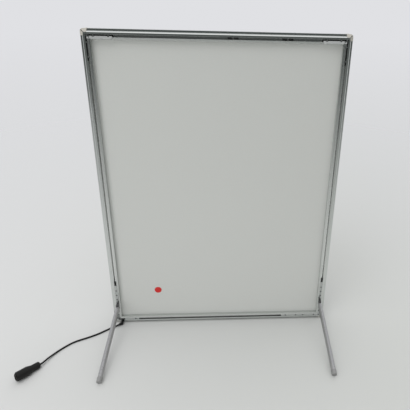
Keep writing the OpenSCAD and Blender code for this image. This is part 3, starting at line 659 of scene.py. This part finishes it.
def makeScrewTree():
    tree = bpy.data.node_groups.new("setScrewTree", "GeometryNodeTree")
    face = tree.interface
    face.new_socket("Geometry", in_out="INPUT", socket_type="NodeSocketGeometry")
    for label in ("Radius", "Length", "Head Radius", "Head Top", "Head Length",
                  "Socket Radius", "Socket Depth", "Mouth Radius", "Mouth Depth"):
        face.new_socket(label, in_out="INPUT", socket_type="NodeSocketFloat")
    face.new_socket("Sides", in_out="INPUT", socket_type="NodeSocketInt")
    face.new_socket("Finish", in_out="INPUT", socket_type="NodeSocketMaterial")
    face.new_socket("Geometry", in_out="OUTPUT", socket_type="NodeSocketGeometry")
    given = tree.nodes.new("NodeGroupInput").outputs

    def times(value, factor):
        return addNode(tree, "ShaderNodeMath", {0: value, 1: factor}, operation="MULTIPLY").outputs[0]

    def moved(shape, up):
        lift = addNode(tree, "ShaderNodeCombineXYZ", {"Z": up}).outputs[0]
        return addNode(tree, "GeometryNodeTransform", {"Geometry": shape, "Translation": lift}).outputs[0]

    halfHead = times(given["Head Length"], -0.5)
    shankLength = addNode(tree, "ShaderNodeMath", {0: given["Length"], 1: halfHead}, operation="ADD").outputs[0]
    shankMiddle = addNode(tree, "ShaderNodeMath", {0: shankLength, 1: -0.5, 2: halfHead},
                          operation="MULTIPLY_ADD").outputs[0]
    shank = addNode(tree, "GeometryNodeMeshCylinder", {
        "Vertices": given["Sides"], "Radius": given["Radius"], "Depth": shankLength}).outputs["Mesh"]
    head = addNode(tree, "GeometryNodeMeshCone", {
        "Vertices": given["Sides"], "Radius Top": given["Head Top"], "Radius Bottom": given["Head Radius"],
        "Depth": given["Head Length"]}).outputs["Mesh"]
    whole = addNode(tree, "GeometryNodeMeshBoolean", operation="UNION", solver="EXACT")
    tree.links.new(moved(shank, shankMiddle), whole.inputs["Mesh 2"])
    tree.links.new(moved(head, times(given["Head Length"], -1.0)), whole.inputs["Mesh 2"])
    hexagon = addNode(tree, "GeometryNodeMeshCylinder", {
        "Vertices": 6, "Radius": given["Socket Radius"],
        "Depth": times(given["Socket Depth"], 2.0)}).outputs["Mesh"]
    mouthTip = 0.0001                   # metres
    mouth = addNode(tree, "GeometryNodeMeshCone", {
        "Vertices": given["Sides"], "Radius Top": given["Mouth Radius"], "Radius Bottom": mouthTip,
        "Depth": given["Mouth Depth"]}).outputs["Mesh"]
    sunk = addNode(tree, "GeometryNodeMeshBoolean", {"Mesh 1": whole.outputs["Mesh"]},
                   operation="DIFFERENCE", solver="EXACT")
    tree.links.new(hexagon, sunk.inputs["Mesh 2"])
    mouthSink = -0.98                   # a little stands over the end, for a clean cut
    tree.links.new(moved(mouth, times(given["Mouth Depth"], mouthSink)), sunk.inputs["Mesh 2"])
    facing = addNode(tree, "GeometryNodeInputNamedAttribute", {"Name": "facing"}, data_type="FLOAT_VECTOR")
    turn = addNode(tree, "GeometryNodeInputNamedAttribute", {"Name": "turn"}, data_type="FLOAT")
    aimed = addNode(tree, "FunctionNodeAlignRotationToVector", {"Vector": facing.outputs[0]}, axis="Z")
    twist = addNode(tree, "FunctionNodeAxisAngleToRotation", {"Axis": (0, 0, 1), "Angle": turn.outputs[0]})
    turned = addNode(tree, "FunctionNodeRotateRotation", {
        "Rotation": aimed.outputs[0], "Rotate By": twist.outputs[0]}, rotation_space="LOCAL")
    points = addNode(tree, "GeometryNodeMeshToPoints", {"Mesh": given["Geometry"]}).outputs[0]
    placed = addNode(tree, "GeometryNodeInstanceOnPoints", {
        "Points": points, "Instance": sunk.outputs["Mesh"], "Rotation": turned.outputs[0]}).outputs[0]
    real = addNode(tree, "GeometryNodeRealizeInstances", {"Geometry": placed}).outputs[0]
    dressed = addNode(tree, "GeometryNodeSetMaterial", {
        "Geometry": real, "Material": given["Finish"]}).outputs[0]
    tree.links.new(dressed, tree.nodes.new("NodeGroupOutput").inputs["Geometry"])
    return tree


def screwPlaces(nodeName):
    bm = bmesh.new()
    bm.from_mesh(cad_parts[nodeName].data)
    bmesh.ops.remove_doubles(bm, verts=bm.verts, dist=edgeBreaking["merge"])
    waiting = set(bm.verts)
    places = []
    while waiting:
        island = [waiting.pop()]
        for vertex in island:
            for edge in vertex.link_edges:
                other = edge.other_vert(vertex)
                if other in waiting:
                    waiting.remove(other)
                    island.append(other)
        low = Vector([min(vertex.co[axis] for vertex in island) for axis in range(3)])
        high = Vector([max(vertex.co[axis] for vertex in island) for axis in range(3)])
        middle = (low + high) / 2
        facing = -1 if middle.y < 0 else 1
        places.append((Vector((middle.x, low.y if facing < 0 else high.y, middle.z)), Vector((0, facing, 0))))
    bm.free()
    return sorted(places, key=lambda place: tuple(place[0]))


def makeScrews(pieceName, chosen, look, tree):
    places = screwPlaces(chosen["node"])
    mesh = bpy.data.meshes.new(pieceName)
    mesh.from_pydata([place for place, facing in places], [], [])
    mesh.attributes.new("facing", "FLOAT_VECTOR", "POINT").data.foreach_set(
        "vector", [value for place, facing in places for value in facing])
    mesh.attributes.new("turn", "FLOAT", "POINT").data.foreach_set(
        "value", [look["turnStep"] * index for index in range(len(places))])
    piece = bpy.data.objects.new(pieceName, mesh)
    scene.collection.objects.link(piece)
    setter = piece.modifiers.new("setScrews", "NODES")
    setter.node_group = tree
    sizes = {"Radius": look["radius"] * mm, "Length": chosen["length"] * mm,
             "Head Radius": chosen["headRadius"] * mm, "Head Top": chosen["headTop"] * mm,
             "Head Length": chosen["headLength"] * mm,
             "Socket Radius": look["socketFlats"] / math.sqrt(3) * mm, "Socket Depth": look["socketDepth"] * mm,
             "Mouth Radius": look["mouth"] * mm, "Mouth Depth": look["mouthDepth"] * mm,
             "Sides": look["sides"], "Finish": chosen["finish"]}
    for item in tree.interface.items_tree:
        if item.in_out == "INPUT" and item.name in sizes:
            setter[item.identifier] = sizes[item.name]
    finished = plainMesh(piece)
    piece.modifiers.clear()
    piece.data = finished
    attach(piece, "frame")
    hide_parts(chosen["node"])
    return len(places), len(finished.polygons)


screwTree = makeScrewTree()
for pieceName, chosen in screwSets.items():
    print("set screws:", pieceName, *makeScrews(pieceName, chosen, setScrews, screwTree))


# Stage: a pale floor, painted darker towards the right as painted shade, that fades into a pale background, in
# soft light from above and the front left
stageLook = {
    # The floor's colour darkens from left to right: painted shade standing in for light from the left
    "floorPaintedLightLeft": (0.614, 0.619, 0.613),
    "floorPaintedShadeRight": (0.562, 0.572, 0.554),
    "floorTurn": 0.4,                   # metres to either side where the floor's colour is reached
    "floorSize": 12.0,
    "floorRoughness": 0.7,
    "floorSpecular": 0.2,
    "fadeStart": 0.25,
    "fadeHalf": 0.65,                   # metres beyond the start where half of the fade is reached
    "fadeReach": 1.1,
    "background": (0.745, 0.75, 0.775),
    "overhead": (1.12, 1.12, 1.13),
    "overheadStart": 0.45,              # upward part of a direction where the overhead light begins
    "overheadFull": 0.92,
    "roomAhead": (0.40, 0.408, 0.40),
    "mirroredAhead": (0.09, 0.10, 0.097),       # what the rails mirror of the room ahead
    "roomBehind": (0.82, 0.83, 0.83),
    "behindStart": -0.35,               # backward part of a direction where the room behind begins
    "behindFull": 0.45,
    "lightAim": (0, 0, 0.2),
    "keyPlace": (-0.75, -1.3, 3.2),
    "keySize": 2.2,
    "keyPower": 32.0,
    "fillPlace": (-0.9, -1.0, 0.45),
    "fillSize": 0.9,
    "fillPower": 3.2,
}


def makeFloor(look):
    half = look["floorSize"] / 2
    mesh = bpy.data.meshes.new("paleFloor")
    corners = [(-half, -half, 0), (half, -half, 0), (half, half, 0), (-half, half, 0)]
    mesh.from_pydata(corners, [], [(0, 1, 2, 3)])
    floor = bpy.data.objects.new("paleFloor", mesh)
    scene.collection.objects.link(floor)
    material = bpy.data.materials.new("paleFloor")
    material.use_nodes = True
    tree = material.node_tree
    shader = tree.nodes["Principled BSDF"]
    shader.inputs["Roughness"].default_value = look["floorRoughness"]
    shader.inputs["Specular IOR Level"].default_value = look["floorSpecular"]
    place = addNode(tree, "ShaderNodeTexCoord").outputs["Object"]
    # Painted shade: the floor's colour darkens from left to right
    across = addNode(tree, "ShaderNodeMapRange", {
        "Value": addNode(tree, "ShaderNodeSeparateXYZ", {0: place}).outputs["X"],
        "From Min": -look["floorTurn"], "From Max": look["floorTurn"]}, interpolation_type="SMOOTHSTEP")
    tone = addNode(tree, "ShaderNodeMix", {
        "Factor": across.outputs["Result"], 6: (*look["floorPaintedLightLeft"], 1), 7: (*look["floorPaintedShadeRight"], 1)},
        data_type="RGBA")
    tree.links.new(tone.outputs[2], shader.inputs["Base Color"])
    far = addNode(tree, "ShaderNodeVectorMath", {0: place}, operation="LENGTH")
    past = addNode(tree, "ShaderNodeMath", {0: far.outputs["Value"], 1: look["fadeStart"]},
                   operation="SUBTRACT")
    beyond = addNode(tree, "ShaderNodeMath", {0: past.outputs[0], 1: 0.0}, operation="MAXIMUM").outputs[0]
    slowed = addNode(tree, "ShaderNodeMath", {0: beyond, 1: look["fadeHalf"]}, operation="ADD").outputs[0]
    share = addNode(tree, "ShaderNodeMath", {0: beyond, 1: slowed}, operation="DIVIDE").outputs[0]
    fade = addNode(tree, "ShaderNodeMath", {0: share, 1: look["fadeReach"]}, operation="MULTIPLY",
                   use_clamp=True)
    clear = addNode(tree, "ShaderNodeBsdfTransparent")
    mixed = addNode(tree, "ShaderNodeMixShader", {
        0: fade.outputs[0], 1: shader.outputs["BSDF"], 2: clear.outputs["BSDF"]})
    tree.links.new(mixed.outputs["Shader"], tree.nodes["Material Output"].inputs["Surface"])
    mesh.materials.append(material)


def makeWorld(look):
    world = bpy.data.worlds.new("softRoom")
    world.use_nodes = True
    scene.world = world
    tree = world.node_tree
    direction = addNode(tree, "ShaderNodeTexCoord").outputs["Generated"]
    axes = addNode(tree, "ShaderNodeSeparateXYZ", {0: direction}).outputs
    height = addNode(tree, "ShaderNodeMapRange", {
        "Value": axes["Z"], "From Min": look["overheadStart"], "From Max": look["overheadFull"]},
        interpolation_type="SMOOTHSTEP")
    behind = addNode(tree, "ShaderNodeMapRange", {
        "Value": axes["Y"], "From Min": look["behindStart"], "From Max": look["behindFull"]},
        interpolation_type="SMOOTHSTEP")
    ray = addNode(tree, "ShaderNodeLightPath").outputs
    ahead = addNode(tree, "ShaderNodeMix", {
        "Factor": ray["Is Glossy Ray"], 6: (*look["roomAhead"], 1), 7: (*look["mirroredAhead"], 1)},
        data_type="RGBA")
    level = addNode(tree, "ShaderNodeMix", {
        "Factor": behind.outputs["Result"], 6: ahead.outputs[2], 7: (*look["roomBehind"], 1)},
        data_type="RGBA")
    room = addNode(tree, "ShaderNodeMix", {
        "Factor": height.outputs["Result"], 6: level.outputs[2], 7: (*look["overhead"], 1)}, data_type="RGBA")
    mirrored = addNode(tree, "ShaderNodeMath", {0: ray["Is Glossy Ray"], 1: ray["Is Transmission Ray"]},
                       operation="MAXIMUM")
    mirroredBehind = addNode(tree, "ShaderNodeMath", {0: mirrored.outputs[0], 1: behind.outputs["Result"]},
                             operation="MULTIPLY")
    seen = addNode(tree, "ShaderNodeMath", {0: ray["Is Camera Ray"], 1: mirroredBehind.outputs[0]},
                   operation="MAXIMUM")
    shown = addNode(tree, "ShaderNodeMix", {
        "Factor": seen.outputs[0], 6: room.outputs[2], 7: (*look["background"], 1)}, data_type="RGBA")
    tree.links.new(shown.outputs[2], tree.nodes["Background"].inputs["Color"])


def makeLight(lightName, place, size, power, aim):
    lamp = bpy.data.lights.new(lightName, "AREA")
    lamp.size = size
    lamp.energy = power
    light = bpy.data.objects.new(lightName, lamp)
    light.location = place
    light.rotation_euler = (Vector(aim) - light.location).to_track_quat("-Z", "Y").to_euler()
    light.visible_glossy = False
    scene.collection.objects.link(light)


makeFloor(stageLook)
makeWorld(stageLook)
for lightName in ("key", "fill"):
    makeLight(lightName + "Light", stageLook[lightName + "Place"], stageLook[lightName + "Size"],
              stageLook[lightName + "Power"], stageLook["lightAim"])
print("stage lit")
